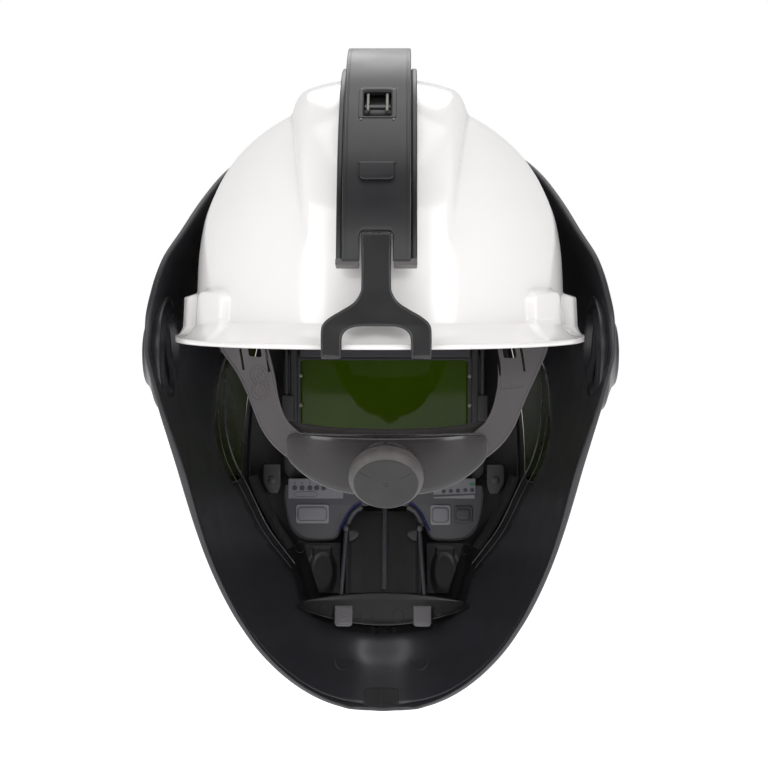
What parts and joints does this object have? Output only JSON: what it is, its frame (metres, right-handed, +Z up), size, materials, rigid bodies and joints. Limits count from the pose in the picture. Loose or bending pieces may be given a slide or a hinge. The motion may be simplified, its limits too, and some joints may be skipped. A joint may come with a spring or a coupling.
{
  "type": "welding helmet with hard hat",
  "caption": "White safety helmet with an arched crown rail carrying a lift-up black welding shield with a green filter, a head harness and a ratchet knob.",
  "frame": {"origin": "centre of the hat's rim plane at the ear line, where the head harness sits", "axes": "+Z up towards the crown, +Y towards the front of the helmet, +X towards the wearer's right"},
  "size_m": [0.2652, 0.319, 0.3943],
  "materials": {
    "hat_white": "glossy white moulded polyethylene, lightly scuffed",
    "rail_black": "satin black moulded nylon",
    "hook_black": "semi-gloss black moulded nylon",
    "harness_grey": "smoky dark grey moulded band",
    "cover_grey": "smooth dark grey cover",
    "pad_dark": "dark soft sweat pad",
    "strap_grey": "woven crown strap",
    "knob_grey": "frosted dark grey knob",
    "shield_black": "satin black moulded shell, fine grain",
    "frame_black": "black moulded plastic",
    "filter_green": "dark green auto-darkening filter glass",
    "window_green": "dark green shade pane",
    "clear_cover": "clear polycarbonate cover plate",
    "panel_grey": "dark grey control panel",
    "key_light": "light grey membrane key",
    "key_dark": "black membrane key",
    "tab_grey": "light grey moulded tab"
  },
  "bodies": {
    "hat": {"hat_shell": "hat_white", "crown_rail": "rail_black", "rear_hook": "hook_black", "front_clip": "rail_black", "brow_band": "harness_grey", "nape_band": "harness_grey", "nape_cover": "cover_grey", "nape_pad": "pad_dark", "crown_strap_side": "strap_grey", "crown_strap_long": "strap_grey"},
    "knob": {"ratchet_knob": "knob_grey"},
    "shield": {"shield_shell": "shield_black", "rail_carriage": "rail_black", "side_window_right": "window_green", "side_window_left": "window_green", "filter_frame": "frame_black", "filter_glass": "filter_green", "cover_plate": "clear_cover", "control_panel": "panel_grey", "key_left": "key_light", "key_middle": "key_light", "key_right": "key_dark", "chin_panel": "frame_black", "chin_plate": "frame_black", "chin_tab_right": "tab_grey", "chin_tab_left": "tab_grey", "side_clip_right": "frame_black", "side_clip_left": "frame_black", "side_trim_right": "frame_black", "side_trim_left": "frame_black"}
  },
  "joints": [
    {"name": "shield_lift", "type": "hinge", "parent": "hat", "child": "shield", "pos_m": [0, 0, 0.016], "axis": [1, 0, 0], "range_deg": [0, 75]},
    {"name": "knob_turn", "type": "hinge", "parent": "hat", "child": "knob", "pos_m": [0.0046, -0.1148, -0.0639], "axis": [0, 0.809, 0.5878], "range_deg": [-270, 270]}
  ]
}
